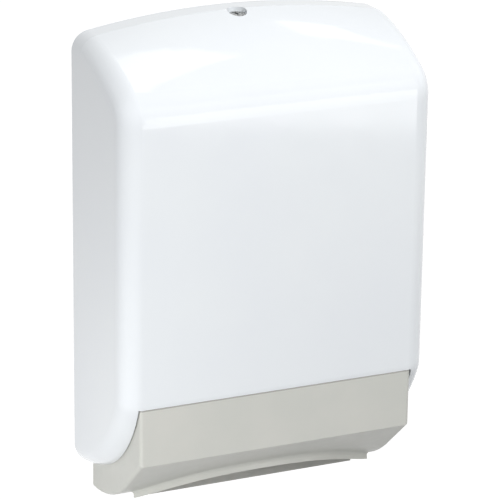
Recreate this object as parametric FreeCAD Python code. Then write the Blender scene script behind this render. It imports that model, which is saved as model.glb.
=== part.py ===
import FreeCAD, Part
import math
import os

# Wall-mounted dispenser for folded paper towels.
# Lengths are millimetres. Each piece is built with x to the right as seen from the front,
# "out" as the distance forward from the wall and "up" as the height above the lowest line of
# the outlet housing where it meets the wall. save() moves every piece so that the centre of
# the wall screw pattern, on the wall plane, becomes the origin, with +Y pointing at the wall.

os.makedirs("parts", exist_ok=True)

# Cover: outer form
cover_width = 300.0            # at the wall
cover_side_lean = 1.1          # how much further in each side stands at the front
cover_depth = 117.0
cover_wall = 2.8
cover_top = 445.7              # height of the top strip on the centre line
crown_radius = 739.0           # arch of the top, side to side
strip_depth = 22.0             # level strip along the wall
strip_edge_radius = 3.5
slope_radius = 234.0           # long convex slope in front of the strip
bend_radius = 34.0             # bend from the slope into the upright front
bend_height = 373.0            # where the upright front begins
side_edge_radius = 18.0        # rounding all round each side
seam_radius = 142.3            # lower edge of the cover's sides
seam_centre_behind = 133.1     # measured back from the front
seam_centre_up = 167.7
seam_foot_radius = 24.0        # eases the front into the curved sides
seam_gap = 1.3

# Outlet housing
housing_inset = 17.0           # from the side of the cover to the side of the housing
housing_wall = 2.5
housing_depth = cover_depth
housing_rear = 2.5
belly_radius = 119.0
belly_slope = 41.5             # degrees, underside at the front
front_edge_height = 63.5       # lower edge of the upright front
housing_corner_radius = 3.5
upstand_height = 9.0           # ledge behind the cover's lower edge
upstand_gap = 0.6
seam_bevel = 52.0              # degrees, lets the cover's edge swing clear
cheek_drop = 2.0               # the cheeks end this far under the plate's step
flange_width = 16.0
flange_height = 52.0
flange_bottom = 1.5
flange_screws = (14.0, 31.0)   # heights
upstand_root = 6.0             # how far the ledge runs down behind the front
cheek_front_run = 25.0         # the cheeks are level this far back from the front

# Outlet mouth
mouth_end_margin = 8.0         # from the end of the lip to the end of the mouth
mouth_rear = 48.0
lip_end_margin = 17.0          # from the side of the housing to the end of the lip
lip_root = 64.4                # distance from the wall at the lip's ends
lip_bow = 24.6                 # how much further forward it stands in the middle
lip_bow_power = 2.5
lip_angle = 73.0               # degrees below level
lip_length = 6.7
lip_fillet = 4.5
lip_end_radius = 4.5
lip_tip_thickness = 1.8
guide_nose_drop = 4.4          # how far the rear guide hangs below the belly
guide_thickness = 2.0
guide_shelf = 16.0
guide_end_gap = 0.6
guide_front_gap = 0.2
guide_nose_radius = 1.5

# Back plate
plate_thickness = 3.0
plate_gap = 2.2                # to the inside of the cover
plate_step_height = 66.0       # the plate is narrow below this, clear of the hinge lobes
plate_bottom = 3.0
rim_height = 7.0
rim_thickness = 2.2
rim_clear_width = 6.0          # the rim stays this far clear of the housing's cheeks
rim_clear_height = 20.0
plate_side_gap = 0.3           # to the inside of the housing
slide_rib_height = 2.0
slide_rib_width = 2.4
slide_rib_spacing = 46.0
slide_rib_count = 5
slide_rib_bottom = 20.0
slide_rib_top_gap = 10.0       # under the catch

# Wall screws
screw_spacing_x = 160.0
screw_spacing_z = 240.0
screw_centre_height = 230.0
screw_hole_radius = 3.25
screw_seat_radius = 9.0
screw_seat_height = 2.0

# Hinge at the foot of each side
hinge_out = 22.0
hinge_drop = 122.7             # below the centre of the seam's curve
hinge_pin_radius = 3.0
hinge_running_gap = 0.08
hinge_boss_radius = 7.0
hinge_boss_depth = 8.5         # inside the housing
hinge_washer_thickness = 1.0
hinge_side_play = 0.2
hinge_head_radius = 5.0
hinge_head_height = 2.5
hinge_head_round = 0.8
hinge_tip_chamfer = 0.8
hinge_bore_skin = 1.5          # left of the boss beyond its blind bore
hinge_tip_gap = 1.5            # between the pin's tip and the end of the bore
hinge_washer_inset = 0.2       # the washer is smaller than the boss by this
wall_clearance = 0.4           # between the turning lobe and the wall
opening_angle = 100.0
stop_tab_width = 4.0
stop_tab_reach = 10.5
stop_tab_root = 2.0            # how deep the tab runs into its boss
stop_tab_length = 5.0
stop_stub_reach = 9.8
stop_stub_gap = 1.0            # around the cover's boss
stop_contact_rise = 1.5        # above the boss, where tab and stub meet
stop_stub_engagement = 2.5     # how far the stub reaches past the end of the cover's boss
stop_play = 1.5                # degrees left before the stops touch

# Stack guides
stack_guide_inset = 24.0       # from the side of the cover; leaves 252 mm for 250 mm towels
stack_guide_wall = 2.0
stack_guide_depth = 97.0
stack_guide_top = 300.0
stack_ledge_height = 58.0
stack_ledge_width = 30.0
stack_flange = 16.0
stack_corner_radius = 12.0
stack_seat_margin = 1.6        # of the plate's pad around a guide screw
stack_screw_heights = (120.0, 260.0)

# Lock
lock_x = -3.1
lock_out = 25.2
lock_sink = 5.1                # of the lock's seat below the top of the cover
lock_seat_radius = 9.0
lock_seat_clearance = 0.2      # between the washer and the inside of the slope
lock_seat_wall = 2.4
lock_flange_radius = 7.9
lock_flange_height = 1.4
lock_flange_round = 0.7
lock_barrel_radius = 6.8
lock_barrel_length = 19.0
lock_hole_gap = 0.15
plug_radius = 5.2
plug_running_gap = 0.06
plug_sink = 0.4
key_slot_width = 2.4
key_slot_length = 9.0
key_slot_depth = 4.0
lock_washer_radius = 10.5
lock_washer_thickness = 1.0
lock_nut_across = 18.0
lock_nut_height = 4.0
lock_nut_corner = 0.6          # taken off the corners of the nut
plug_tail = 1.0                # below the barrel, above the cam
plug_tail_half = 2.5           # half the side of the square tail
plug_tail_short = 0.1          # the tail ends above the cam's underside, so that the screw clamps
cam_thickness = 3.0
cam_width = 10.0
cam_hook_inner = 17.0
cam_hook_outer = 20.0
cam_hook_drop = 6.0
cam_corner_radius = 1.5
cam_screw_radius = 1.5
cam_screw_head_radius = 4.2
cam_screw_head_height = 2.4
cam_screw_head_round = 1.0
cam_screw_recess = (2.2, 0.5, 1.1)    # reach, half width, depth
cam_screw_reach = 5.0          # into the barrel
cam_screw_spare = 1.0          # of its hole past its tip

# Catch on the back plate
catch_sheet = 1.5
catch_width = 34.0
catch_plate_height = 20.0
catch_lip_half_width = 4.5
catch_leg_half_width = 7.2
catch_corner_radius = 4.0
catch_screw_edge = 6.0         # from the end of the bracket to a screw
catch_play = 1.0               # between the turned hook and the catch
catch_lip_under_cam = 1.5
catch_leg_under_hook = 5.0

# Small screws
screw_radius = 1.75
screw_head_radius = 3.4
screw_head_height = 2.2
screw_head_round = 0.9
screw_recess = (2.0, 0.45, 1.0)       # reach, half width, depth
screw_fit = 0.02
screw_end_gap = 0.6            # left between a screw's tip and the wall

# Working allowances
cut_past = 1.0                 # how far a hole reaches past the face it opens
overlap = 0.5                  # how deep joined shapes run into each other
spare = 20.0                   # how far a cutting block reaches past the object
loft_spare = 7.5               # how far the cover's loft reaches past its sides
hair = 0.01                    # keeps two faces from lying on each other


def at(x, out, up):
    return FreeCAD.Vector(x, -out, up)


def save(name, shape):
    piece = shape.removeSplitter() if len(shape.Solids) == 1 else shape
    piece = piece.translated(FreeCAD.Vector(0, 0, -screw_centre_height))
    piece.exportStep("parts/" + name + ".step")
    print(name, "solids", len(piece.Solids), "valid", piece.isValid(), "volume", round(piece.Volume))


def box(x0, x1, out0, out1, up0, up1):
    corner = at(min(x0, x1), max(out0, out1), min(up0, up1))
    return Part.makeBox(abs(x1 - x0), abs(out1 - out0), abs(up1 - up0), corner)


def cylinder_x(radius, x0, x1, out, up):
    start = at(min(x0, x1), out, up)
    return Part.makeCylinder(radius, abs(x1 - x0), start, FreeCAD.Vector(1, 0, 0))


def cylinder_out(radius, x, up, out0, out1):
    return Part.makeCylinder(radius, out1 - out0, at(x, out0, up), FreeCAD.Vector(0, -1, 0))


def cylinder_up(radius, x, out, up0, up1):
    return Part.makeCylinder(radius, up1 - up0, at(x, out, up0), FreeCAD.Vector(0, 0, 1))


def prism_x(edges_of, x0, x1):
    """A side profile, given as a function of x, pushed from x0 to x1."""
    face = Part.Face(Part.Wire(edges_of(x0)))
    return face.extrude(FreeCAD.Vector(x1 - x0, 0, 0))


def fuse(first, others):
    return first.multiFuse(others) if others else first


def mirrored(shape):
    return shape.mirror(FreeCAD.Vector(0, 0, 0), FreeCAD.Vector(1, 0, 0))


def stations(reach, steps):
    """Places from -reach to reach, side to side, where a lofted profile is drawn."""
    return [reach * k / steps for k in range(-steps, steps + 1)]


def on_circle(centre, radius, angle):
    return centre[0] + radius * math.cos(angle), centre[1] + radius * math.sin(angle)


def arc_at(x, centre, radius, angle0, angle1):
    points = [on_circle(centre, radius, a) for a in (angle0, (angle0 + angle1) / 2, angle1)]
    return Part.Arc(*[at(x, out, up) for out, up in points]).toShape()


def crown(x):
    """Height of the top strip at x."""
    return cover_top - crown_radius + math.sqrt(crown_radius ** 2 - x * x)


seam_centre = (cover_depth - seam_centre_behind, seam_centre_up)
hinge_up = seam_centre_up - hinge_drop


def seam_angle(radius, out):
    return -math.acos((out - seam_centre[0]) / radius)


foot_angle = seam_angle(seam_radius - seam_foot_radius, cover_depth - seam_foot_radius)


def seam_up(out):
    return on_circle(seam_centre, seam_radius, seam_angle(seam_radius, out))[1]


def slope_circle(x):
    """Centre of the long slope at x, and the angle where it runs into the bend."""
    bend = (cover_depth - bend_radius, bend_height)
    corner = (strip_depth, crown(x))
    reach = math.hypot(corner[0] - bend[0], corner[1] - bend[1])
    between = slope_radius - bend_radius
    swing = math.acos((between ** 2 + reach ** 2 - slope_radius ** 2) / (2 * between * reach))
    angle = math.atan2(corner[1] - bend[1], corner[0] - bend[0]) + swing
    return on_circle(bend, between, angle), angle - math.pi


def under_slope(out):
    """Height of the inside of the slope on the centre line."""
    centre = slope_circle(0)[0]
    radius = slope_radius - cover_wall
    return centre[1] + math.sqrt(radius ** 2 - (out - centre[0]) ** 2)


lock_face_height = cover_top - lock_sink
lock_top = lock_face_height + lock_flange_height
barrel_bottom = lock_face_height - lock_barrel_length
seat_under = under_slope(lock_out + lock_washer_radius) - lock_seat_clearance


def cover_profile(x, inset, rear):
    """Side profile of the cover at x, every face moved in by inset, closed at out = rear."""
    top = crown(x) - inset
    front = cover_depth - inset
    radius = slope_radius - inset
    bend = (cover_depth - bend_radius, bend_height)
    slope, bend_start = slope_circle(x)
    slope_start = math.asin((top - slope[1]) / radius)
    strip_end = on_circle(slope, radius, slope_start)[0]
    low = seam_radius - inset
    foot = (cover_depth - seam_foot_radius,
            on_circle(seam_centre, seam_radius - seam_foot_radius, foot_angle)[1])
    seam_rear = seam_angle(low, rear)
    rear_up = on_circle(seam_centre, low, seam_rear)[1]
    return Part.Wire([
        Part.makeLine(at(x, rear, rear_up), at(x, rear, top)),
        Part.makeLine(at(x, rear, top), at(x, strip_end, top)),
        arc_at(x, slope, radius, slope_start, bend_start),
        arc_at(x, bend, bend_radius - inset, bend_start, 0.0),
        Part.makeLine(at(x, front, bend_height), at(x, front, foot[1])),
        arc_at(x, foot, seam_foot_radius - inset, 0.0, foot_angle),
        arc_at(x, seam_centre, low, foot_angle, seam_rear)])


def cover_form(inset, rear):
    """The cover's closed form with every face moved in by inset."""
    half = cover_width / 2
    profiles = [cover_profile(x, inset, rear) for x in stations(half + loft_spare, 3)]
    body = Part.makeLoft(profiles, True, False)
    lean = cover_side_lean / cover_depth
    back_half = half - inset + lean * spare
    front_half = half - cover_side_lean - inset - lean * spare
    corners = [at(-back_half, -spare, 0), at(back_half, -spare, 0),
               at(front_half, cover_depth + spare, 0), at(-front_half, cover_depth + spare, 0)]
    plan = Part.Face(Part.makePolygon(corners + corners[:1]))
    body = body.common(plan.extrude(FreeCAD.Vector(0, 0, cover_top + spare)))
    rim = []
    for edge in body.Edges:
        bounds = edge.BoundBox
        beside = bounds.XLength < 6 and abs(bounds.Center.x) > half - spare
        on_wall = bounds.YLength < hair and abs(bounds.YMax + rear) < hair
        if beside and not on_wall:
            rim.append(edge)
    return body.makeFillet(side_edge_radius - inset, rim)


def strip_rounding():
    """Long sliver that comes off the line between the level strip and the slope."""
    half = cover_width / 2
    lift = 3.0
    spread = 0.15

    def section(x):
        slope, bend_start = slope_circle(x)
        rise = math.asin((crown(x) - strip_edge_radius - slope[1]) / (slope_radius - strip_edge_radius))
        centre = on_circle(slope, slope_radius - strip_edge_radius - hair, rise)
        start = math.pi / 2 + spread
        end = rise - spread
        far = strip_edge_radius + lift
        low0 = on_circle(centre, strip_edge_radius, start)
        low1 = on_circle(centre, strip_edge_radius, end)
        high0 = on_circle(centre, far, start)
        high1 = on_circle(centre, far, end)
        peak = on_circle(centre, far + lift, (start + end) / 2)
        return Part.Wire([arc_at(x, centre, strip_edge_radius, start, end),
                          Part.makeLine(at(x, *low1), at(x, *high1)),
                          Part.makeLine(at(x, *high1), at(x, *peak)),
                          Part.makeLine(at(x, *peak), at(x, *high0)),
                          Part.makeLine(at(x, *high0), at(x, *low0))])

    return Part.makeLoft([section(x) for x in stations(half + loft_spare, 3)], True, False)


seam_front_up = seam_up(cover_depth)
foot_up = on_circle(seam_centre, seam_radius - seam_foot_radius, foot_angle)[1]
# How far the eased front stands back at the seam.
seam_edge_drop = seam_foot_radius - math.sqrt(seam_foot_radius ** 2 - (foot_up - seam_front_up) ** 2)
bevel_rise = math.tan(math.radians(seam_bevel))
housing_half = cover_width / 2 - housing_inset
lip_half_width = housing_half - lip_end_margin
mouth_half_width = lip_half_width - mouth_end_margin
boss_end = housing_half + hinge_washer_thickness + 2 * hinge_side_play


def hinge_boss():
    """Blind boss inside the cover's right-hand lobe, with its stop tab."""
    boss = cylinder_x(hinge_boss_radius, boss_end, cover_width / 2, hinge_out, hinge_up)
    tab = box(boss_end, boss_end + stop_tab_length,
              hinge_out - stop_tab_width / 2, hinge_out + stop_tab_width / 2,
              hinge_up + hinge_boss_radius - stop_tab_root, hinge_up + stop_tab_reach)
    return boss.fuse(tab)


def hinge_bore():
    blind_end = cover_width / 2 - cover_wall - hinge_bore_skin
    return cylinder_x(hinge_pin_radius + hinge_running_gap, boss_end - cut_past, blind_end,
                      hinge_out, hinge_up)


def cover_shell():
    outer = cover_form(0.0, 0.0).cut(strip_rounding())
    behind_wall = -10.0
    shell = outer.cut(cover_form(cover_wall, behind_wall))
    opening_half = housing_half + seam_gap
    opening_rise = 8.0
    bevel_reach = 12.0
    boss_root = 1.0
    # The underside is open between the two curled side edges.
    shell = shell.cut(box(-opening_half, opening_half, -spare, cover_depth - cover_wall - hair,
                          -spare, seam_front_up + opening_rise))
    # The lower edge of the front slopes up towards the inside.
    drop = seam_edge_drop * bevel_rise
    front = cover_depth + cut_past
    back = cover_depth - bevel_reach
    wedge = [at(-cover_width, front, seam_front_up - drop - cut_past * bevel_rise),
             at(-cover_width, back, seam_front_up - drop + bevel_reach * bevel_rise),
             at(-cover_width, back, -spare),
             at(-cover_width, front, -spare)]
    wedge = Part.Face(Part.makePolygon(wedge + wedge[:1])).extrude(FreeCAD.Vector(2 * cover_width, 0, 0))
    shell = shell.cut(wedge.common(box(-opening_half, opening_half, 0, cover_depth + spare, 0, cover_top)))
    # Behind the hinge the lobe is an arc about the pin, so that it turns clear of the wall.
    lobe_radius = hinge_out - wall_clearance
    behind = box(-cover_width, cover_width, -spare, hinge_out, -spare, hinge_up)
    behind = behind.cut(cylinder_x(lobe_radius, -cover_width, cover_width, hinge_out, hinge_up))
    shell = shell.cut(behind)
    # Sunk seat and hole for the lock.
    cup = cylinder_up(lock_seat_radius + lock_seat_wall, lock_x, lock_out, seat_under, cover_top + spare)
    seat = cylinder_up(lock_seat_radius, lock_x, lock_out, seat_under, lock_face_height)
    shell = shell.fuse(cup.common(outer)).fuse(seat)
    shell = shell.cut(cylinder_up(lock_seat_radius, lock_x, lock_out, lock_face_height, cover_top + spare))
    shell = shell.cut(cylinder_up(lock_barrel_radius + lock_hole_gap, lock_x, lock_out,
                                  seat_under - cut_past, cover_top))
    inside = cover_form(boss_root, behind_wall)
    boss = hinge_boss().common(inside)
    shell = fuse(shell, [boss, mirrored(boss)])
    bore = hinge_bore()
    return shell.cut(fuse(bore, [mirrored(bore)]))


belly_centre = (0.0, belly_radius)
belly_end = math.radians(belly_slope)


def belly_up(out):
    """Height of the underside at this distance from the wall."""
    tangent_out = belly_radius * math.sin(belly_end)
    if out <= tangent_out:
        return belly_radius - math.sqrt(belly_radius ** 2 - out * out)
    tangent_up = belly_radius * (1 - math.cos(belly_end))
    return tangent_up + (out - tangent_out) * math.tan(belly_end)


def housing_profile(x, inset, rear, top):
    """Side profile of the housing below the level top, every face moved in by inset."""
    radius = belly_radius - inset
    front = housing_depth - inset
    start = math.asin(rear / radius)
    tangent = on_circle(belly_centre, radius, belly_end - math.pi / 2)
    low = tangent[1] + (front - tangent[0]) * math.tan(belly_end)
    rear_up = belly_radius - radius * math.cos(start)
    return [
        arc_at(x, belly_centre, radius, start - math.pi / 2, belly_end - math.pi / 2),
        Part.makeLine(at(x, tangent[0], tangent[1]), at(x, front, low)),
        Part.makeLine(at(x, front, low), at(x, front, top)),
        Part.makeLine(at(x, front, top), at(x, rear, top)),
        Part.makeLine(at(x, rear, top), at(x, rear, rear_up))]


def lip_geometry(x):
    """Root point, slope of the belly there, fillet centre and tangent length of the lip at x."""
    root = lip_root + lip_bow * (1 - (abs(x) / lip_half_width) ** lip_bow_power)
    slope = min(math.asin(root / belly_radius), math.radians(belly_slope))
    drop = math.radians(lip_angle)
    half = (slope + drop) / 2
    away = lip_fillet / math.sin(half)
    aim = (slope - drop) / 2
    corner = (root, belly_up(root))
    centre = (corner[0] + away * math.cos(aim), corner[1] + away * math.sin(aim))
    return corner, slope, centre, lip_fillet / math.tan(half)


def lip_section(x):
    """The lip's sheet at x: a root buried in the floor, a concave bend and the steep leaf."""
    corner, slope, centre, run = lip_geometry(x)
    drop = math.radians(lip_angle)
    wall = housing_wall
    sink = 0.03
    buried = 2.0
    skin = 0.4
    belly_angle = slope + math.pi / 2
    turn = 1.5 * math.pi - drop
    centre = on_circle(centre, sink, belly_angle)
    inner = lip_fillet + wall
    p1 = on_circle(centre, lip_fillet, belly_angle)
    p0 = on_circle(on_circle(p1, buried, slope), skin, belly_angle)
    p2 = on_circle(centre, lip_fillet, turn)
    tip = (corner[0] + lip_length * math.cos(drop), corner[1] - lip_length * math.sin(drop))
    back = (tip[0] - lip_tip_thickness * math.sin(drop), tip[1] - lip_tip_thickness * math.cos(drop))
    q2 = on_circle(centre, inner, turn)
    q1 = on_circle(centre, inner, belly_angle)
    q0 = on_circle(on_circle(q1, buried, slope), -skin - sink, belly_angle)
    return Part.Wire([
        Part.makeLine(at(x, *p0), at(x, *p1)),
        arc_at(x, centre, lip_fillet, belly_angle, turn),
        Part.makeLine(at(x, *p2), at(x, *tip)),
        Part.makeLine(at(x, *tip), at(x, *back)),
        Part.makeLine(at(x, *back), at(x, *q2)),
        arc_at(x, centre, inner, turn, belly_angle),
        Part.makeLine(at(x, *q1), at(x, *q0)),
        Part.makeLine(at(x, *q0), at(x, *p0))])


def lip():
    """The bowed lip along the front of the mouth, with a concave fillet at each end."""
    reach = lip_half_width + lip_end_radius
    body = Part.makeLoft([lip_section(x) for x in stations(reach, 5)], True, False)
    corner = lip_geometry(reach)[0]
    drop = math.radians(lip_angle)
    along = FreeCAD.Vector(0, -math.cos(drop), -math.sin(drop))
    through = FreeCAD.Vector(0, math.sin(drop), -math.cos(drop))
    before = 1.5
    start = at(reach, corner[0], corner[1]) + along * lip_end_radius - through * before
    notch = Part.makeCylinder(lip_end_radius, spare / 2, start, through)
    side = Part.makePolygon([start - FreeCAD.Vector(lip_end_radius, 0, 0),
                             start + FreeCAD.Vector(spare, 0, 0),
                             start + FreeCAD.Vector(spare, 0, 0) + along * spare,
                             start - FreeCAD.Vector(lip_end_radius, 0, 0) + along * spare,
                             start - FreeCAD.Vector(lip_end_radius, 0, 0)])
    trim = notch.fuse(Part.Face(side).extrude(through * spare / 2))
    return body.cut(fuse(trim, [mirrored(trim)]))


def mouth_cut():
    """The opening through the floor: straight behind, bowed in front."""
    points = []
    short_of_lip = 0.05
    for x in stations(mouth_half_width, 6):
        corner, slope, centre, run = lip_geometry(x)
        front = on_circle(centre, lip_fillet, slope + math.pi / 2)[0]
        points.append(at(x, front - housing_wall * math.sin(slope) - short_of_lip, -spare))
    bow = Part.BSplineCurve()
    bow.interpolate(points)
    left = at(-mouth_half_width, mouth_rear, -spare)
    right = at(mouth_half_width, mouth_rear, -spare)
    outline = Part.Wire([bow.toShape(), Part.makeLine(points[-1], right),
                         Part.makeLine(right, left), Part.makeLine(left, points[0])])
    return Part.Face(outline).extrude(FreeCAD.Vector(0, 0, cover_depth))


def cheek_top():
    """What is left of the housing under the line that runs above the cover's seam."""
    x = -cover_width
    above = cover_top + spare
    high = upstand_height + seam_front_up
    rear_high = plate_step_height - cheek_drop
    corners = [at(x, -spare, rear_high), at(x, hinge_out, rear_high),
               at(x, cover_depth - cheek_front_run, high), at(x, cover_depth + spare, high),
               at(x, cover_depth + spare, above), at(x, -spare, above)]
    face = Part.Face(Part.makePolygon(corners + corners[:1]))
    return face.extrude(FreeCAD.Vector(2 * cover_width, 0, 0))


flange_x = housing_half - housing_wall - flange_width / 2


def outlet_housing():
    blank_top = cover_top
    outer = prism_x(lambda x: housing_profile(x, 0.0, housing_rear, blank_top), -housing_half, housing_half)
    rounded = []
    for edge in outer.Edges:
        bounds = edge.BoundBox
        beside = bounds.XLength < hair and abs(abs(bounds.Center.x) - housing_half) < hair
        on_wall = bounds.YLength < hair and abs(bounds.YMax + housing_rear) < hair
        level = bounds.ZLength < hair and bounds.ZMin > blank_top - hair
        if beside and not on_wall and not level:
            rounded.append(edge)
    outer = outer.makeFillet(housing_corner_radius, rounded)
    inner_half = housing_half - housing_wall
    behind_wall = -5.0
    inner = prism_x(lambda x: housing_profile(x, housing_wall, behind_wall, blank_top + spare),
                    -inner_half, inner_half)
    shell = outer.cut(inner)
    shell = shell.cut(cheek_top())
    # The front wall steps back behind the cover's lower edge.
    face_out = cover_depth - cover_wall - upstand_gap
    sill = seam_front_up - seam_gap
    x = -cover_width
    front = cover_depth + cut_past
    step = [at(x, front, sill - cut_past * bevel_rise), at(x, cover_depth, sill),
            at(x, face_out, sill + (cover_depth - face_out) * bevel_rise),
            at(x, face_out, blank_top), at(x, front, blank_top)]
    step = Part.Face(Part.makePolygon(step + step[:1])).extrude(FreeCAD.Vector(2 * cover_width, 0, 0))
    upstand = box(-inner_half, inner_half, face_out - housing_wall, housing_depth - overlap,
                  sill - upstand_root, seam_front_up + upstand_height)
    shell = shell.fuse(upstand).cut(step)
    shell = shell.cut(mouth_cut()).fuse(lip())
    # Flanges that screw to the back plate, and the hinge bosses.
    extras = []
    for side in (-1, 1):
        flange_inner = side * (inner_half - flange_width)
        extras.append(box(flange_inner, side * (inner_half + overlap), plate_thickness,
                          plate_thickness + housing_wall, flange_bottom, flange_height))
        extras.append(cylinder_x(hinge_boss_radius, side * (inner_half + overlap),
                                 side * (inner_half - hinge_boss_depth), hinge_out, hinge_up))
        angle = math.radians(90 - opening_angle - stop_play) - 2 * math.asin(
            stop_tab_width / 2 / (hinge_boss_radius + stop_contact_rise))
        extras.append(stop_stub(side, angle))
    shell = fuse(shell, extras)
    holes = []
    for side in (-1, 1):
        holes.append(cylinder_x(hinge_pin_radius + screw_fit, side * (housing_half + cut_past),
                                side * (inner_half - hinge_boss_depth - cut_past), hinge_out, hinge_up))
        for up in flange_screws:
            holes.append(cylinder_out(screw_radius + screw_fit, side * flange_x, up,
                                      plate_thickness - cut_past,
                                      plate_thickness + housing_wall + cut_past))
    return shell.cut(fuse(holes[0], holes[1:]))


def stop_stub(side, angle):
    """A stub on the cheek that the cover's stop tab meets when the cover is fully open."""
    low = hinge_boss_radius + stop_stub_gap
    stub = box(side * (housing_half - overlap), side * (boss_end + stop_stub_engagement),
               low, stop_stub_reach, -stop_tab_width / 2, stop_tab_width / 2)
    stub.rotate(FreeCAD.Vector(0, 0, 0), FreeCAD.Vector(1, 0, 0), -math.degrees(angle))
    return stub.translated(at(0, hinge_out, hinge_up))


def mouth_guide():
    """Rounded strip along the rear of the mouth, seated on the floor."""
    half = mouth_half_width - guide_end_gap
    front = mouth_rear + guide_front_gap
    nose = guide_nose_radius
    shelf_radius = belly_radius - housing_wall
    top_radius = shelf_radius - guide_thickness
    a0 = math.asin((mouth_rear - guide_shelf) / shelf_radius) - math.pi / 2
    a1 = math.asin(front / shelf_radius) - math.pi / 2
    nose_up = belly_up(mouth_rear) - guide_nose_drop
    nose_out = front + nose
    x = -half
    low_in = on_circle(belly_centre, shelf_radius, a0)
    low_out = on_circle(belly_centre, shelf_radius, a1)
    high_in = on_circle(belly_centre, top_radius, a0)
    a2 = math.asin(front / top_radius) - math.pi / 2
    high_out = on_circle(belly_centre, top_radius, a2)
    roll = (high_out[0], high_out[1] - 2 * nose)
    edges = [
        arc_at(x, belly_centre, shelf_radius, a0, a1),
        Part.makeLine(at(x, *low_out), at(x, low_out[0], nose_up + nose)),
        arc_at(x, (nose_out, nose_up + nose), nose, math.pi, 2 * math.pi),
        Part.makeLine(at(x, nose_out + nose, nose_up + nose), at(x, nose_out + nose, roll[1])),
        arc_at(x, roll, 2 * nose, 0.0, math.pi / 2),
        arc_at(x, belly_centre, top_radius, a2, a0),
        Part.makeLine(at(x, *high_in), at(x, *low_in))]
    return Part.Face(Part.Wire(edges)).extrude(FreeCAD.Vector(2 * half, 0, 0))


plate_half = cover_width / 2 - cover_wall - plate_gap
plate_low_half = housing_half - housing_wall - plate_side_gap
cam_top = barrel_bottom - plug_tail
cam_under = cam_top - cam_thickness
catch_lip_top = cam_under - catch_lip_under_cam
catch_leg_top = cam_under - cam_hook_drop - catch_leg_under_hook
catch_bottom = catch_leg_top - catch_plate_height
catch_screw_up = catch_bottom + catch_plate_height / 2
catch_screw_x = catch_width / 2 - catch_screw_edge
catch_lip_out = lock_out - cam_hook_inner + catch_play
stack_guide_out = plate_thickness + slide_rib_height
guide_inner_half = cover_width / 2 - stack_guide_inset
stack_screw_x = guide_inner_half - stack_flange / 2


def plate_outline(inset):
    """Front outline of the back plate as a face on the wall plane."""
    low = plate_low_half - inset
    half = plate_half - inset
    radius = side_edge_radius - cover_wall - plate_gap - inset
    crown_r = crown_radius - cover_wall - plate_gap - inset
    crown_up = cover_top - crown_radius
    side_x = half - radius
    corner_up = crown_up + math.sqrt((crown_r - radius) ** 2 - side_x ** 2)
    away = math.atan2(corner_up - crown_up, side_x)
    touch = (side_x + radius * math.cos(away), corner_up + radius * math.sin(away))
    middle = (side_x + radius * math.cos(away / 2), corner_up + radius * math.sin(away / 2))
    bottom = plate_bottom + inset
    step = plate_step_height + inset
    edges = [Part.makeLine(at(-low, 0, bottom), at(low, 0, bottom)),
             Part.makeLine(at(low, 0, bottom), at(low, 0, step)),
             Part.makeLine(at(low, 0, step), at(half, 0, step)),
             Part.makeLine(at(half, 0, step), at(half, 0, corner_up)),
             Part.Arc(at(half, 0, corner_up), at(middle[0], 0, middle[1]),
                      at(touch[0], 0, touch[1])).toShape(),
             Part.Arc(at(touch[0], 0, touch[1]), at(0, 0, crown_up + crown_r),
                      at(-touch[0], 0, touch[1])).toShape(),
             Part.Arc(at(-touch[0], 0, touch[1]), at(-middle[0], 0, middle[1]),
                      at(-half, 0, corner_up)).toShape(),
             Part.makeLine(at(-half, 0, corner_up), at(-half, 0, step)),
             Part.makeLine(at(-half, 0, step), at(-low, 0, step)),
             Part.makeLine(at(-low, 0, step), at(-low, 0, bottom))]
    return Part.Face(Part.Wire(edges))


def wall_screw_places():
    for x in (-screw_spacing_x / 2, screw_spacing_x / 2):
        for dz in (-screw_spacing_z / 2, screw_spacing_z / 2):
            yield x, screw_centre_height + dz


def back_plate():
    forward = FreeCAD.Vector(0, -1, 0)
    plate = plate_outline(0.0).extrude(forward * plate_thickness)
    tall = plate_thickness + rim_height
    rim = plate_outline(0.0).extrude(forward * tall).cut(plate_outline(rim_thickness).extrude(forward * tall))
    rim = rim.common(box(-cover_width, cover_width, 0, tall, plate_step_height + hair, cover_top))
    # The rim stops short of the step, where the housing's cheeks stand.
    clear_half = plate_low_half + rim_clear_width
    rim = rim.cut(box(-clear_half, clear_half, plate_thickness, tall + cut_past,
                      plate_step_height - cut_past, plate_step_height + rim_thickness + rim_clear_height))
    added = [rim]
    middle = (slide_rib_count - 1) / 2
    for k in range(slide_rib_count):
        x = (k - middle) * slide_rib_spacing
        added.append(box(x - slide_rib_width / 2, x + slide_rib_width / 2, plate_thickness - overlap,
                         plate_thickness + slide_rib_height,
                         slide_rib_bottom, catch_bottom - slide_rib_top_gap))
    for x, up in wall_screw_places():
        added.append(cylinder_out(screw_seat_radius, x, up, overlap, plate_thickness + screw_seat_height))
    for side in (-1, 1):
        for up in stack_screw_heights:
            added.append(cylinder_out(screw_head_radius + stack_seat_margin, side * stack_screw_x, up,
                                      overlap, stack_guide_out))
    plate = fuse(plate, added)
    holes = [cylinder_out(screw_hole_radius, x, up, -cut_past, spare) for x, up in wall_screw_places()]
    for side in (-1, 1):
        places = [(side * flange_x, up) for up in flange_screws]
        places += [(side * stack_screw_x, up) for up in stack_screw_heights]
        places.append((lock_x + side * catch_screw_x, catch_screw_up))
        for x, up in places:
            holes.append(cylinder_out(screw_radius + screw_fit, x, up, screw_end_gap, spare))
    return plate.cut(fuse(holes[0], holes[1:]))


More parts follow.
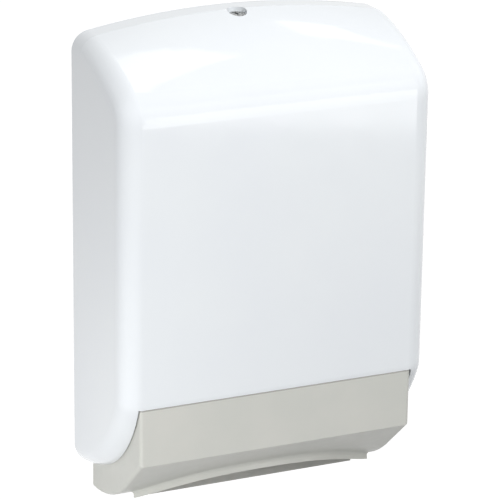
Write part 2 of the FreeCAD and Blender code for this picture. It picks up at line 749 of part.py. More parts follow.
def stack_guide(side):
    """Upright side guide with a ledge that carries the ends of the towel stack."""
    inner = guide_inner_half
    outer = inner + stack_guide_wall
    rear = stack_guide_out
    front = rear + stack_guide_depth
    wall = box(inner, outer, rear, front, stack_ledge_height, stack_guide_top)
    ledge = box(inner - stack_ledge_width, outer, rear, front,
                stack_ledge_height, stack_ledge_height + stack_guide_wall)
    flange = box(inner - stack_flange, outer, rear, rear + stack_guide_wall,
                 stack_ledge_height, stack_guide_top)
    body = wall.fuse(ledge).fuse(flange)
    corners = []
    for edge in body.Edges:
        bounds = edge.BoundBox
        if abs(bounds.YMin + front) > hair or bounds.YLength > hair:
            continue
        across = bounds.ZLength < hair and bounds.ZMax > stack_guide_top - hair
        upright = bounds.XLength < hair and bounds.XMax < inner - stack_ledge_width + hair
        if across or upright:
            corners.append(edge)
    body = body.makeFillet(stack_corner_radius, corners)
    holes = [cylinder_out(screw_radius + screw_fit, stack_screw_x, up,
                          rear - cut_past, rear + stack_guide_wall + cut_past)
             for up in stack_screw_heights]
    body = body.cut(fuse(holes[0], holes[1:]))
    return body if side > 0 else mirrored(body)


def screw_out(x, up, seat, tip):
    """Pan-head screw driven towards the wall; its head sits at out = seat."""
    shank = cylinder_out(screw_radius, x, up, tip, seat)
    head = cylinder_out(screw_head_radius, x, up, seat, seat + screw_head_height)
    top = [e for e in head.Edges if abs(e.BoundBox.YMin + seat + screw_head_height) < hair
           and e.BoundBox.YLength < hair and e.BoundBox.XLength > screw_head_radius]
    head = head.makeFillet(screw_head_round, top)
    reach, arm, depth = screw_recess
    floor = seat + screw_head_height - depth
    cross = [box(x - reach, x + reach, floor, floor + spare, up - arm, up + arm),
             box(x - arm, x + arm, floor, floor + spare, up - reach, up + reach)]
    return shank.fuse(head).cut(fuse(cross[0], cross[1:]))


def housing_screws():
    seat = plate_thickness + housing_wall
    return Part.makeCompound([screw_out(side * flange_x, up, seat, screw_end_gap)
                              for side in (-1, 1) for up in flange_screws])


def stack_guide_screws():
    seat = stack_guide_out + stack_guide_wall
    return Part.makeCompound([screw_out(side * stack_screw_x, up, seat, screw_end_gap)
                              for side in (-1, 1) for up in stack_screw_heights])


def to_lock(shape):
    """Pieces of the lock are drawn about x = 0 and moved onto the lock's axis here."""
    return shape.translated(FreeCAD.Vector(lock_x, 0, 0))


def catch_screws():
    seat = plate_thickness + catch_sheet
    return Part.makeCompound([screw_out(lock_x + side * catch_screw_x, catch_screw_up, seat, screw_end_gap)
                              for side in (-1, 1)])


def catch_bracket():
    """Bent sheet on the back plate with the upright lip that the cam hooks behind."""
    half = catch_width / 2
    foot = box(-half, half, plate_thickness, plate_thickness + catch_sheet, catch_bottom, catch_leg_top)
    leg = box(-catch_leg_half_width, catch_leg_half_width, plate_thickness,
              catch_lip_out + catch_sheet, catch_leg_top - catch_sheet, catch_leg_top)
    rise = box(-catch_lip_half_width, catch_lip_half_width, catch_lip_out, catch_lip_out + catch_sheet,
               catch_leg_top - catch_sheet, catch_lip_top)
    body = foot.fuse(leg).fuse(rise)
    corners = [e for e in body.Edges if e.BoundBox.XLength < hair and e.BoundBox.ZLength < hair
               and abs(abs(e.BoundBox.XMax) - half) < hair]
    body = body.makeFillet(catch_corner_radius, corners)
    holes = [cylinder_out(screw_radius + screw_fit, side * catch_screw_x, catch_screw_up, 0, spare)
             for side in (-1, 1)]
    return body.cut(fuse(holes[0], holes[1:]))


def hinge_pin(side):
    """Headed pin pressed into the housing's boss from inside."""
    inner = housing_half - housing_wall - hinge_boss_depth
    outer = cover_width / 2 - cover_wall - hinge_bore_skin - hinge_tip_gap
    pin = cylinder_x(hinge_pin_radius, inner - overlap, outer, hinge_out, hinge_up)
    tip = [e for e in pin.Edges if e.BoundBox.XMin > outer - hair and e.BoundBox.YLength > hinge_pin_radius]
    pin = pin.makeChamfer(hinge_tip_chamfer, tip)
    head = cylinder_x(hinge_head_radius, inner - hinge_head_height, inner, hinge_out, hinge_up)
    rim = [e for e in head.Edges if e.BoundBox.XMax < inner - hinge_head_height + hair
           and e.BoundBox.YLength > hinge_head_radius]
    head = head.makeFillet(hinge_head_round, rim)
    body = pin.fuse(head)
    return body if side > 0 else mirrored(body)


def hinge_washers():
    start = housing_half + hinge_side_play
    end = start + hinge_washer_thickness
    ring = cylinder_x(hinge_boss_radius - hinge_washer_inset, start, end, hinge_out, hinge_up)
    ring = ring.cut(cylinder_x(hinge_pin_radius + hinge_running_gap, start - cut_past, end + cut_past,
                               hinge_out, hinge_up))
    return Part.makeCompound([ring, mirrored(ring)])


def lock_body():
    flange = cylinder_up(lock_flange_radius, 0, lock_out, lock_face_height, lock_top)
    rim = [e for e in flange.Edges if e.BoundBox.ZMin > lock_top - hair
           and e.BoundBox.XLength > lock_flange_radius]
    flange = flange.makeFillet(lock_flange_round, rim)
    body = flange.fuse(cylinder_up(lock_barrel_radius, 0, lock_out, barrel_bottom,
                                   lock_face_height + overlap))
    return body.cut(cylinder_up(plug_radius + plug_running_gap, 0, lock_out,
                                barrel_bottom - cut_past, lock_top + cut_past))


def lock_washer():
    top = seat_under
    ring = cylinder_up(lock_washer_radius, 0, lock_out, top - lock_washer_thickness, top)
    return ring.cut(cylinder_up(lock_barrel_radius + lock_hole_gap, 0, lock_out, top - spare, top + cut_past))


def lock_nut():
    top = seat_under - lock_washer_thickness
    radius = lock_nut_across / math.sqrt(3)
    corners = [on_circle((0.0, lock_out), radius, k * math.pi / 3) for k in range(7)]
    points = [at(x, out, top - lock_nut_height) for x, out in corners]
    nut = Part.Face(Part.makePolygon(points)).extrude(FreeCAD.Vector(0, 0, lock_nut_height))
    nut = nut.common(cylinder_up(radius - lock_nut_corner, 0, lock_out, top - lock_nut_height, top))
    return nut.cut(cylinder_up(lock_barrel_radius + screw_fit, 0, lock_out, top - spare, top + cut_past))


def lock_plug():
    """Turning plug with its key slot; its square tail carries the cam."""
    top = lock_top - plug_sink
    plug = cylinder_up(plug_radius, 0, lock_out, barrel_bottom - plug_tail, top)
    slot = box(-key_slot_width / 2, key_slot_width / 2, lock_out - key_slot_length / 2,
               lock_out + key_slot_length / 2, top - key_slot_depth, top + cut_past)
    half = plug_tail_half
    tail = box(-half, half, lock_out - half, lock_out + half, cam_under + plug_tail_short, barrel_bottom)
    plug = plug.cut(slot).fuse(tail)
    return plug.cut(cylinder_up(cam_screw_radius + screw_fit, 0, lock_out, barrel_bottom - spare,
                                barrel_bottom + cam_screw_reach + cam_screw_spare))


def lock_cam():
    """Flat cam, pointing along +x when the lock is open, with its hook turned down."""
    half = cam_width / 2
    hub = cylinder_up(half, 0, lock_out, cam_under, cam_top)
    arm = box(0, cam_hook_outer, lock_out - half, lock_out + half, cam_under, cam_top)
    hook = box(cam_hook_inner, cam_hook_outer, lock_out - half, lock_out + half,
               cam_top - cam_thickness - cam_hook_drop, cam_top)
    body = hub.fuse(arm).fuse(hook)
    edge = [e for e in body.Edges if e.BoundBox.XMin > cam_hook_outer - hair
            and e.BoundBox.ZMin > cam_top - hair]
    body = body.makeFillet(cam_corner_radius, edge)
    hole = plug_tail_half + screw_fit
    return body.cut(box(-hole, hole, lock_out - hole, lock_out + hole,
                        cam_under - cut_past, cam_top + cut_past))


def cam_screw():
    head_under = cam_under - cam_screw_head_height
    head = cylinder_up(cam_screw_head_radius, 0, lock_out, head_under, cam_under)
    rim = [e for e in head.Edges if e.BoundBox.ZMax < head_under + hair
           and e.BoundBox.XLength > cam_screw_head_radius]
    head = head.makeFillet(cam_screw_head_round, rim)
    shank = cylinder_up(cam_screw_radius, 0, lock_out, cam_under - overlap, barrel_bottom + cam_screw_reach)
    reach, arm, depth = cam_screw_recess
    low = head_under - spare
    high = head_under + depth
    cross = [box(-reach, reach, lock_out - arm, lock_out + arm, low, high),
             box(-arm, arm, lock_out - reach, lock_out + reach, low, high)]
    return head.fuse(shank).cut(fuse(cross[0], cross[1:]))


save("back_plate", back_plate())
save("outlet_housing", outlet_housing())
save("mouth_guide", mouth_guide())
save("housing_screws", housing_screws())
save("stack_guide_left", stack_guide(-1))
save("stack_guide_right", stack_guide(1))
save("stack_guide_screws", stack_guide_screws())
save("catch_bracket", to_lock(catch_bracket()))
save("catch_screws", catch_screws())
save("hinge_pin_left", hinge_pin(-1))
save("hinge_pin_right", hinge_pin(1))
save("hinge_washers", hinge_washers())
save("cover_shell", cover_shell())
save("lock_body", to_lock(lock_body()))
save("lock_washer", to_lock(lock_washer()))
save("lock_nut", to_lock(lock_nut()))
save("lock_plug", to_lock(lock_plug()))
save("lock_cam", to_lock(lock_cam()))
save("cam_screw", to_lock(cam_screw()))
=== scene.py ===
"""Finishes, light and view of a wall dispenser for folded paper towels."""

import math

import bpy
from bpy.props import FloatProperty, FloatVectorProperty, PointerProperty
from mathutils import Matrix, Vector


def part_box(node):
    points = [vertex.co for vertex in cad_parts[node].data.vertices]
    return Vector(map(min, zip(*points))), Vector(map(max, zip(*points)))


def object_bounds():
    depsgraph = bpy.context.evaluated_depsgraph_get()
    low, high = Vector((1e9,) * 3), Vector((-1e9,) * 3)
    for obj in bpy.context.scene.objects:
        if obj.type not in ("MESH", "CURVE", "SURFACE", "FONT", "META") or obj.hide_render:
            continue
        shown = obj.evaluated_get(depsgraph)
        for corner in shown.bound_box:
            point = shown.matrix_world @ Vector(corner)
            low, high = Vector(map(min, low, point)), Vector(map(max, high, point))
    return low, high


bl_info = {
    "name": "Folded towel dispenser",
    "version": (1, 0, 0),
    "blender": (4, 5, 0),
    "location": "3D View > Sidebar > Dispenser",
    "description": "Moulded, metal and studio finishes for a wall dispenser for folded towels",
    "category": "Object",
}

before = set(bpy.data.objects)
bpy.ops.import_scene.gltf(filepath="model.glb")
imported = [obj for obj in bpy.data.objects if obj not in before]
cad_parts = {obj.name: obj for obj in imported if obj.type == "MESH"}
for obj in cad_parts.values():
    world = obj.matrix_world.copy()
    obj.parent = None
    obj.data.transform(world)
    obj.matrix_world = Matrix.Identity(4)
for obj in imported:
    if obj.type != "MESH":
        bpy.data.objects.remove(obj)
cad_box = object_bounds()

WHITE = (1.0, 1.0, 1.0, 1.0)
MIDDLE = (0.0, 0.0, 0.0)
CEILING = 2.0           # height of the small ceiling lights, in metres
SOFT_EDGE = 0.0001      # over how much height the painted seam shade begins, in metres


def linear(red, green, blue):
    """The linear colour of a screen colour given in 0 to 255."""
    return tuple(((c / 255 + 0.055) / 1.055) ** 2.4 for c in (red, green, blue))


def colour(name, description, screen):
    """A colour setting whose default is given as a screen colour."""
    return FloatVectorProperty(
        name=name, description=description, subtype="COLOR", size=3, min=0.0, max=1.0,
        default=linear(*screen))


def deeper(shade, depth):
    """The same colour, darker by a share."""
    return [(1.0 - depth) * c for c in shade]


def share(name, description, default):
    """A setting from 0 to 1."""
    return FloatProperty(
        name=name, description=description, subtype="FACTOR", min=0.0, max=1.0, default=default)


def length(name, description, default):
    """A length setting in metres."""
    return FloatProperty(
        name=name, description=description, subtype="DISTANCE", unit="LENGTH", min=0.0,
        default=default)


def power(name, description, watts):
    """The power setting of a lamp."""
    return FloatProperty(
        name=name, description=description, subtype="POWER", unit="POWER", min=0.0, default=watts)


def angle(name, description, degrees):
    """An angle setting."""
    return FloatProperty(
        name=name, description=description, subtype="ANGLE", unit="ROTATION",
        default=math.radians(degrees))


class MouldedFinish(bpy.types.PropertyGroup):
    """Colours and surface of the moulded plastics"""

    cover_white: colour("Cover", "Bright white of the cover", (237, 241, 244))
    cover_white_deep: colour("Cover, deeper", "Slightly deeper white of the cover", (235, 239, 243))
    cover_gloss: share("Cover roughness", "Roughness of the polished cover", 0.07)
    cover_waviness: length("Cover waviness", "Height of the faint waves in the polish", 0.000012)
    housing_grey: colour("Housing", "Light grey of the outlet housing", (207, 207, 201))
    housing_grey_deep: colour("Housing, deeper", "Slightly deeper grey", (203, 204, 198))
    housing_roughness: share("Housing roughness", "Roughness of the fine mould grain", 0.42)
    housing_grain: length("Housing grain", "Depth of the fine mould grain", 0.00002)
    # painted shade: this dull grey darkens the housing down in the seam under the cover and stands
    # in for the shadow there
    seam_shade_grey: colour("Seam", "Dull grey down in the seam over the housing", (164, 163, 158))
    seam_height: FloatProperty(
        name="Seam height", description="Height of the top edge of the housing's front",
        subtype="DISTANCE", unit="LENGTH", default=-0.11394)
    # rise, depth and fade give the extent of the painted seam shade
    seam_rise: length("Seam rise", "How far up the seam's grey is even", 0.00174)
    seam_depth: length("Seam depth", "How far in from the front the seam's grey is even", 0.0036)
    seam_fade: length("Seam fade", "Over how much height the seam's grey fades away", 0.0012)
    # painted shade: the guide is of the housing's grey plastic, and its grey is set darker for the
    # shade down in the mouth
    guide_grey_shaded: colour("Mouth guide", "Grey of the guide in the mouth", (188, 188, 182))
    inner_grey: colour("Inner parts", "Pale grey of the plate and the stack guides", (214, 216, 214))
    washer_cream: colour("Washers", "Natural nylon of the hinge washers", (232, 228, 214))


class MetalFinish(bpy.types.PropertyGroup):
    """Colours and surface of the metal pieces"""

    lock_metal: colour("Lock", "Nickel of the lock", (196, 197, 196))
    lock_metal_dull: colour("Lock, dull", "Handled places on the lock", (158, 159, 158))
    lock_roughness: share("Lock roughness", "Roughness of the turned lock faces", 0.3)
    lock_turning: length("Lock turning", "Depth of the turning marks", 0.00002)
    zinc: colour("Zinc plating", "Bright zinc plating of the fixings", (190, 193, 197))
    zinc_straw: colour("Zinc tint", "Faint straw tint in the plating", (197, 193, 178))
    zinc_roughness: share("Zinc roughness", "Roughness of the zinc plating", 0.28)


class StudioSettings(bpy.types.PropertyGroup):
    """Camera, floor and lights"""

    camera_place: FloatVectorProperty(
        name="Camera", description="Where the camera stands", subtype="TRANSLATION",
        unit="LENGTH", size=3, default=(-0.987297, -2.205600, 0.795483))
    camera_aim: FloatVectorProperty(
        name="Aim", description="The point at the middle of the picture", subtype="TRANSLATION",
        unit="LENGTH", size=3, default=(0.006622, -0.038235, -0.005932))
    camera_roll: angle("Roll", "Turn of the camera about its own axis", 0.74862)
    focal_length: FloatProperty(
        name="Focal length", description="Lens of the camera in millimetres", min=1.0,
        default=199.917)
    floor_drop: length("Floor drop", "From the bottom of the dispenser down to the floor", 1.1)
    floor_size: length("Floor size", "Side of the square floor", 30.0)
    floor_white: colour("Floor", "Pale floor", (158, 158, 158))
    floor_lift: FloatProperty(
        name="Floor glow", description="What lifts the floor to white behind the dispenser",
        min=0.0, default=0.9)
    room_level: FloatProperty(
        name="Room light", description="Strength of the even light from all round", min=0.0,
        default=0.3)
    top_power: power("Top light", "Power of the soft light overhead", 3.8)
    front_power: power("Front light", "Power of the soft light above in front", 32.0)
    right_power: power("Right light", "Power of the soft light on the right", 5.5)
    low_power: power("Low light", "Power of the small light low on the left", 3.1)
    side_power: power("Side light", "Power of the soft light beside the right side", 3.0)
    back_power: power("Back light", "Power of the soft light behind", 20.0)
    band_power: power("Band", "Power of a square metre of the light that shows in the bend", 9.4)
    glow_power: power("Glow", "Power of a square metre of the dimmer light above the band", 3.0)
    window_power: power("Windows", "Power of a square metre of the small ceiling lights", 5.0)


def background_rays(nodes, links):
    """1 for rays from the camera and from shiny or clear surfaces, 0 for all others."""
    path = nodes.new("ShaderNodeLightPath")
    seen = path.outputs["Is Camera Ray"]
    for name in ("Is Glossy Ray", "Is Transmission Ray"):
        either = nodes.new("ShaderNodeMath")
        either.operation = "MAXIMUM"
        links.new(seen, either.inputs[0])
        links.new(path.outputs[name], either.inputs[1])
        seen = either.outputs["Value"]
    return seen


class Finish:
    """A surface material being put together on the object's own coordinates."""

    def __init__(self, name, metallic=0.0):
        self.material = bpy.data.materials.new(name)
        self.material.use_nodes = True
        self.nodes = self.material.node_tree.nodes
        self.links = self.material.node_tree.links
        self.shader = self.nodes["Principled BSDF"]
        self.shader.inputs["Metallic"].default_value = metallic
        self.place = self.nodes.new("ShaderNodeTexCoord").outputs["Object"]

    def centred(self, centre):
        """The object's coordinates measured from a centre."""
        mapping = self.nodes.new("ShaderNodeMapping")
        mapping.vector_type = "POINT"
        mapping.inputs["Location"].default_value = [-c for c in centre]
        self.links.new(self.place, mapping.inputs["Vector"])
        return mapping.outputs["Vector"]

    def noise(self, size, detail=3.0):
        """Cloudy variation whose features are about the given size in metres."""
        node = self.nodes.new("ShaderNodeTexNoise")
        node.inputs["Scale"].default_value = 1.0 / size
        node.inputs["Detail"].default_value = detail
        self.links.new(self.place, node.inputs["Vector"])
        return node.outputs["Fac"]

    def ramp(self, factor, low, high, start=0.35, end=0.65):
        """Values between two colours or two numbers."""
        node = self.nodes.new("ShaderNodeValToRGB")
        node.color_ramp.elements[0].position = start
        node.color_ramp.elements[1].position = end
        for element, value in zip(node.color_ramp.elements, (low, high)):
            element.color = (*value, 1.0) if hasattr(value, "__len__") else (value,) * 3 + (1.0,)
        self.links.new(factor, node.inputs["Fac"])
        return node.outputs["Color"]

    def step(self, axis, zero, one):
        """0 up to a place on an axis, 1 from another place on."""
        axes = self.nodes.new("ShaderNodeSeparateXYZ")
        self.links.new(self.place, axes.inputs["Vector"])
        node = self.nodes.new("ShaderNodeMapRange")
        node.inputs["From Min"].default_value = zero
        node.inputs["From Max"].default_value = one
        self.links.new(axes.outputs[axis], node.inputs["Value"])
        return node.outputs["Result"]

    def product(self, first, *others):
        """1 only where every mask is 1."""
        for mask in others:
            node = self.nodes.new("ShaderNodeMath")
            node.operation = "MULTIPLY"
            self.links.new(first, node.inputs[0])
            self.links.new(mask, node.inputs[1])
            first = node.outputs["Value"]
        return first

    def tint(self, factor, low, high):
        """The surface colour varies between two colours."""
        self.links.new(self.ramp(factor, low, high), self.shader.inputs["Base Color"])

    def mark(self, mask, shade):
        """Another colour over the tint, where the mask is 1."""
        colour_input = self.shader.inputs["Base Color"]
        mix = self.nodes.new("ShaderNodeMix")
        mix.data_type = "RGBA"
        factor, under, over = (socket for socket in mix.inputs if socket.enabled)
        over.default_value = (*shade, 1.0)
        self.links.new(mask, factor)
        self.links.new(colour_input.links[0].from_socket, under)
        result, = (socket for socket in mix.outputs if socket.enabled)
        self.links.new(result, colour_input)

    def roughness(self, factor, middle, spread):
        """The roughness varies about a middle value."""
        values = self.ramp(factor, max(middle - spread, 0.0), middle + spread)
        self.links.new(values, self.shader.inputs["Roughness"])

    def relief(self, height, depth):
        """Fine relief from a height pattern, with its depth in metres."""
        node = self.nodes.new("ShaderNodeBump")
        node.inputs["Strength"].default_value = 1.0
        node.inputs["Distance"].default_value = depth
        self.links.new(height, node.inputs["Height"])
        self.links.new(node.outputs["Normal"], self.shader.inputs["Normal"])

    def put_on(self, *names):
        """Gives the finish to the named pieces."""
        for name in names:
            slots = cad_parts[name].material_slots
            for slot in slots:
                slot.material = self.material


class DISPENSER_OT_cover(bpy.types.Operator):
    """Polished white moulding of the cover"""

    bl_idname = "dispenser.cover"
    bl_label = "Cover"
    bl_options = {"REGISTER", "UNDO"}

    def execute(self, context):
        moulded = context.scene.dispenser_moulded
        finish = Finish("polished_white")
        finish.shader.inputs["IOR"].default_value = 1.5
        cloud = finish.noise(size=0.12)
        finish.tint(cloud, moulded.cover_white_deep, moulded.cover_white)
        finish.roughness(finish.noise(size=0.03), moulded.cover_gloss, spread=0.02)
        finish.relief(finish.noise(size=0.011, detail=1.0), moulded.cover_waviness)
        finish.put_on("cover_shell")
        return {"FINISHED"}


class DISPENSER_OT_housing(bpy.types.Operator):
    """Fine-grained light grey moulding of the outlet housing, with painted shade in the seam under
    the cover
    """

    bl_idname = "dispenser.housing"
    bl_label = "Outlet housing"
    bl_options = {"REGISTER", "UNDO"}

    def execute(self, context):
        moulded = context.scene.dispenser_moulded
        finish = Finish("grained_light_grey")
        cloud = finish.noise(size=0.05)
        finish.tint(cloud, moulded.housing_grey_deep, moulded.housing_grey)
        finish.roughness(finish.noise(size=0.008), moulded.housing_roughness, spread=0.05)
        finish.relief(finish.noise(size=0.0006, detail=2.0), moulded.housing_grain)
        # paints shade in the seam under the cover's front edge
        finish.mark(self.seam(finish, moulded), moulded.seam_shade_grey)
        finish.put_on("outlet_housing")
        return {"FINISHED"}

    def seam(self, finish, moulded):
        """1 on the sliver of the housing that shows under the cover's front edge, where shade is
        painted.
        """
        bottom = moulded.seam_height
        top = bottom + moulded.seam_rise
        inner = cad_box[0][1] + moulded.seam_depth
        return finish.product(
            finish.step("Z", bottom, bottom + SOFT_EDGE),
            finish.step("Z", top + moulded.seam_fade, top),
            finish.step("Y", inner + moulded.seam_fade / 2, inner))


class DISPENSER_OT_mouth_guide(bpy.types.Operator):
    """Grey guide strip in the mouth, its grey set darker than the housing's as painted shade"""

    bl_idname = "dispenser.mouth_guide"
    bl_label = "Mouth guide"
    bl_options = {"REGISTER", "UNDO"}

    def execute(self, context):
        moulded = context.scene.dispenser_moulded
        finish = Finish("rubbed_and_shaded_grey")
        rubbed = finish.noise(size=0.02)
        # the random rubbed tone lies over a grey already darkened as painted shade
        finish.tint(rubbed, deeper(moulded.guide_grey_shaded, 0.12), moulded.guide_grey_shaded)
        finish.roughness(finish.noise(size=0.006), middle=0.4, spread=0.08)
        finish.relief(finish.noise(size=0.0008, detail=2.0), depth=0.00002)
        finish.put_on("mouth_guide")
        return {"FINISHED"}


class DISPENSER_OT_inner_parts(bpy.types.Operator):
    """Pale grey ribbed plate and stack guides behind the cover"""

    bl_idname = "dispenser.inner_parts"
    bl_label = "Back plate and stack guides"
    bl_options = {"REGISTER", "UNDO"}

    def execute(self, context):
        moulded = context.scene.dispenser_moulded
        finish = Finish("moulded_pale_grey")
        cloud = finish.noise(size=0.06)
        finish.tint(cloud, deeper(moulded.inner_grey, 0.07), moulded.inner_grey)
        finish.roughness(finish.noise(size=0.01), middle=0.48, spread=0.06)
        finish.relief(finish.noise(size=0.0007, detail=2.0), depth=0.00003)
        finish.put_on("back_plate", "stack_guide_left", "stack_guide_right")
        return {"FINISHED"}


class DISPENSER_OT_washers(bpy.types.Operator):
    """Natural nylon of the hinge washers"""

    bl_idname = "dispenser.washers"
    bl_label = "Hinge washers"
    bl_options = {"REGISTER", "UNDO"}

    def execute(self, context):
        moulded = context.scene.dispenser_moulded
        finish = Finish("natural_nylon")
        cloud = finish.noise(size=0.004)
        finish.tint(cloud, deeper(moulded.washer_cream, 0.06), moulded.washer_cream)
        finish.roughness(finish.noise(size=0.002), middle=0.38, spread=0.06)
        finish.relief(finish.noise(size=0.0005, detail=2.0), depth=0.00001)
        finish.put_on("hinge_washers")
        return {"FINISHED"}


class DISPENSER_OT_lock(bpy.types.Operator):
    """Turned and plated lock in the top of the cover"""

    bl_idname = "dispenser.lock"
    bl_label = "Lock"
    bl_options = {"REGISTER", "UNDO"}

    def execute(self, context):
        metal = context.scene.dispenser_metal
        low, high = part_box("lock_body")
        finish = Finish("turned_nickel", metallic=1.0)
        centred = finish.centred(((low.x + high.x) / 2, (low.y + high.y) / 2, high.z))
        rings = finish.nodes.new("ShaderNodeTexWave")
        rings.wave_type = "RINGS"
        rings.rings_direction = "Z"
        rings.inputs["Scale"].default_value = 900.0
        rings.inputs["Distortion"].default_value = 0.6
        finish.links.new(centred, rings.inputs["Vector"])
        cloud = finish.noise(size=0.003)
        finish.tint(cloud, metal.lock_metal_dull, metal.lock_metal)
        finish.roughness(cloud, metal.lock_roughness, spread=0.07)
        finish.relief(rings.outputs["Fac"], metal.lock_turning)
        finish.put_on("lock_body", "lock_plug")
        return {"FINISHED"}


class DISPENSER_OT_fixings(bpy.types.Operator):
    """Zinc-plated screws, pins, bracket and lock fixings"""

    bl_idname = "dispenser.fixings"
    bl_label = "Fixings"
    bl_options = {"REGISTER", "UNDO"}

    def execute(self, context):
        metal = context.scene.dispenser_metal
        finish = Finish("bright_zinc", metallic=1.0)
        finish.tint(finish.noise(size=0.006), metal.zinc_straw, metal.zinc)
        finish.roughness(finish.noise(size=0.002), metal.zinc_roughness, spread=0.07)
        finish.relief(finish.noise(size=0.0004, detail=2.0), depth=0.000008)
        finish.put_on(
            "housing_screws", "stack_guide_screws", "catch_screws", "catch_bracket",
            "hinge_pin_left", "hinge_pin_right", "lock_washer", "lock_nut", "lock_cam", "cam_screw")
        return {"FINISHED"}


class DISPENSER_OT_floor(bpy.types.Operator):
    """Pale floor under the dispenser, white to the camera away from the shadow"""

    bl_idname = "dispenser.floor"
    bl_label = "Floor"
    bl_options = {"REGISTER", "UNDO"}

    def execute(self, context):
        studio = context.scene.dispenser_studio
        bpy.ops.object.select_all(action="DESELECT")
        height = cad_box[0][2] - studio.floor_drop
        bpy.ops.mesh.primitive_plane_add(size=studio.floor_size, location=(0.0, 0.0, height))
        bpy.ops.object.transform_apply(location=True, rotation=True, scale=True)
        floor = bpy.context.object
        floor.name = "floor"
        finish = Finish("pale_floor")
        cloud = finish.noise(size=1.5)
        finish.tint(cloud, deeper(studio.floor_white, 0.015), studio.floor_white)
        finish.roughness(finish.noise(size=0.4), middle=0.8, spread=0.05)
        lift = finish.nodes.new("ShaderNodeMath")
        lift.operation = "MULTIPLY"
        lift.inputs[1].default_value = studio.floor_lift
        finish.links.new(background_rays(finish.nodes, finish.links), lift.inputs[0])
        finish.shader.inputs["Emission Color"].default_value = WHITE
        finish.links.new(lift.outputs["Value"], finish.shader.inputs["Emission Strength"])
        floor.data.materials.append(finish.material)
        return {"FINISHED"}


class DISPENSER_OT_lights(bpy.types.Operator):
    """Even room light, soft lights, and the lights that show in the polish"""

    bl_idname = "dispenser.lights"
    bl_label = "Lights"
    bl_options = {"REGISTER", "UNDO"}

    def execute(self, context):
        studio = context.scene.dispenser_studio
        self.room(studio.room_level)
        self.soft_light("top_light", (0.0, -0.2, 1.6), (1.5, 1.5), studio.top_power)
        self.soft_light("front_light", (0.0, -1.6, 1.5), (1.5, 1.5), studio.front_power)
        self.soft_light("right_light", (1.6, -1.2, 0.5), (1.0, 1.0), studio.right_power)
        foot_of_left_side = (-0.15, -0.06, -0.15)
        self.soft_light(
            "low_light", (-0.7, -0.35, -0.35), (0.35, 0.35), studio.low_power, foot_of_left_side)
        self.soft_light("side_light", (1.8, 0.2, 0.3), (1.0, 1.0), studio.side_power)
        self.soft_light("back_light", (0.0, 2.0, 0.0), (1.5, 1.5), studio.back_power)
        self.reflected_light("band_light", (1.2, -2.55, 0.05), (0.7, 1.4), studio.band_power)
        self.reflected_light("band_glow", (1.1, -2.3, 1.4), (1.0, 1.3), studio.glow_power)
        brightness = studio.window_power
        self.window("window_left", (0.45, 0.53), (0.9, 0.2), brightness, turn=-65.0)
        self.window("window_right", (1.15, 0.75), (0.25, 0.4), brightness, turn=0.0)
        return {"FINISHED"}

    def room(self, level):
        """Even light from all round that is plain white to the camera and in reflections."""
        world = bpy.data.worlds.new("room")
        bpy.context.scene.world = world
        world.use_nodes = True
        nodes = world.node_tree.nodes
        links = world.node_tree.links
        room = nodes["Background"]
        room.inputs["Color"].default_value = WHITE
        room.inputs["Strength"].default_value = level
        white = nodes.new("ShaderNodeBackground")
        white.inputs["Color"].default_value = WHITE
        white.inputs["Strength"].default_value = 1.0
        choose = nodes.new("ShaderNodeMixShader")
        links.new(background_rays(nodes, links), choose.inputs["Fac"])
        links.new(room.outputs["Background"], choose.inputs[1])
        links.new(white.outputs["Background"], choose.inputs[2])
        links.new(choose.outputs["Shader"], nodes["World Output"].inputs["Surface"])

    def lamp(self, name, place, size, power, aim=MIDDLE):
        """A rectangular lamp that faces a point."""
        light = bpy.data.lights.new(name, "AREA")
        light.shape = "RECTANGLE"
        light.size, light.size_y = size
        light.energy = power
        lamp = bpy.data.objects.new(name, light)
        bpy.context.scene.collection.objects.link(lamp)
        lamp.location = place
        facing = Vector(aim) - Vector(place)
        lamp.rotation_euler = facing.to_track_quat("-Z", "Y").to_euler()
        lamp.visible_camera = False
        return lamp

    def soft_light(self, name, place, size, power, aim=MIDDLE):
        """A lamp that lights the dispenser and doesn't show in the polish."""
        lamp = self.lamp(name, place, size, power, aim)
        lamp.visible_glossy = False

    def reflected_light(self, name, place, size, brightness):
        """A lamp that only shows in the polish, with its power per square metre."""
        lamp = self.lamp(name, place, size, brightness * size[0] * size[1])
        lamp.visible_diffuse = False
        return lamp

    def window(self, name, place, size, brightness, turn):
        """A lamp in the ceiling that shows as a faint patch in the slope."""
        lamp = self.reflected_light(name, (*place, CEILING), size, brightness)
        lamp.rotation_euler = (0.0, 0.0, math.radians(turn))


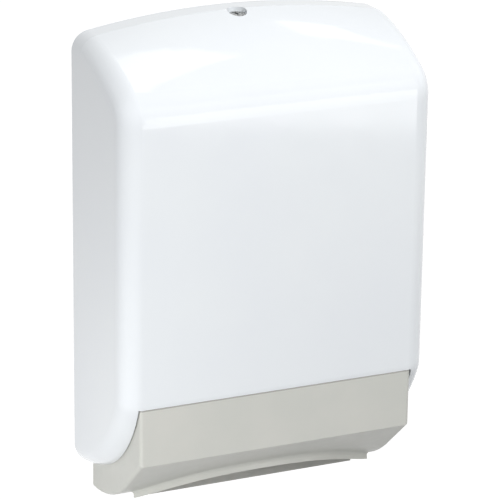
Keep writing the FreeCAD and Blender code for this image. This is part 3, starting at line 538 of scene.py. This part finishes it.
class DISPENSER_OT_camera(bpy.types.Operator):
    """Camera at the picture's angle"""

    bl_idname = "dispenser.camera"
    bl_label = "Camera"
    bl_options = {"REGISTER", "UNDO"}

    def execute(self, context):
        studio = context.scene.dispenser_studio
        camera = bpy.data.objects.new("camera", bpy.data.cameras.new("camera"))
        camera.data.lens = studio.focal_length
        camera.data.sensor_width = 36.0
        bpy.context.scene.collection.objects.link(camera)
        place = Vector(studio.camera_place)
        back = (place - Vector(studio.camera_aim)).normalized()
        level = Vector((0.0, 0.0, 1.0)).cross(back).normalized()
        upright = back.cross(level)
        cosine = math.cos(studio.camera_roll)
        sine = math.sin(studio.camera_roll)
        right = level * cosine + upright * sine
        top = upright * cosine - level * sine
        turn = Matrix((right, top, back)).transposed()
        camera.matrix_world = Matrix.Translation(place) @ turn.to_4x4()
        bpy.context.scene.camera = camera
        bpy.context.scene.view_settings.view_transform = "Standard"
        return {"FINISHED"}


class DISPENSER_PT_build(bpy.types.Panel):
    """The steps of the build and the settings they use"""

    bl_idname = "DISPENSER_PT_build"
    bl_label = "Dispenser"
    bl_space_type = "VIEW_3D"
    bl_region_type = "UI"
    bl_category = "Dispenser"

    def draw(self, context):
        for step in STEPS:
            self.layout.operator(step.bl_idname)
        for group_name, group in GROUPS.items():
            box = self.layout.box()
            for name in group.__annotations__:
                box.prop(getattr(context.scene, group_name), name)


STEPS = (
    DISPENSER_OT_cover, DISPENSER_OT_housing, DISPENSER_OT_mouth_guide, DISPENSER_OT_inner_parts,
    DISPENSER_OT_washers, DISPENSER_OT_lock, DISPENSER_OT_fixings, DISPENSER_OT_floor,
    DISPENSER_OT_lights, DISPENSER_OT_camera)
GROUPS = {
    "dispenser_moulded": MouldedFinish,
    "dispenser_metal": MetalFinish,
    "dispenser_studio": StudioSettings,
}


def register():
    for name, group in GROUPS.items():
        bpy.utils.register_class(group)
        setattr(bpy.types.Scene, name, PointerProperty(type=group))
    for step in STEPS:
        bpy.utils.register_class(step)
    bpy.utils.register_class(DISPENSER_PT_build)


def unregister():
    bpy.utils.unregister_class(DISPENSER_PT_build)
    for step in reversed(STEPS):
        bpy.utils.unregister_class(step)
    for name, group in GROUPS.items():
        delattr(bpy.types.Scene, name)
        bpy.utils.unregister_class(group)


def main():
    register()
    for step in STEPS:
        group, call = step.bl_idname.split(".")
        getattr(getattr(bpy.ops, group), call)()


if __name__ == "__main__":
    main()
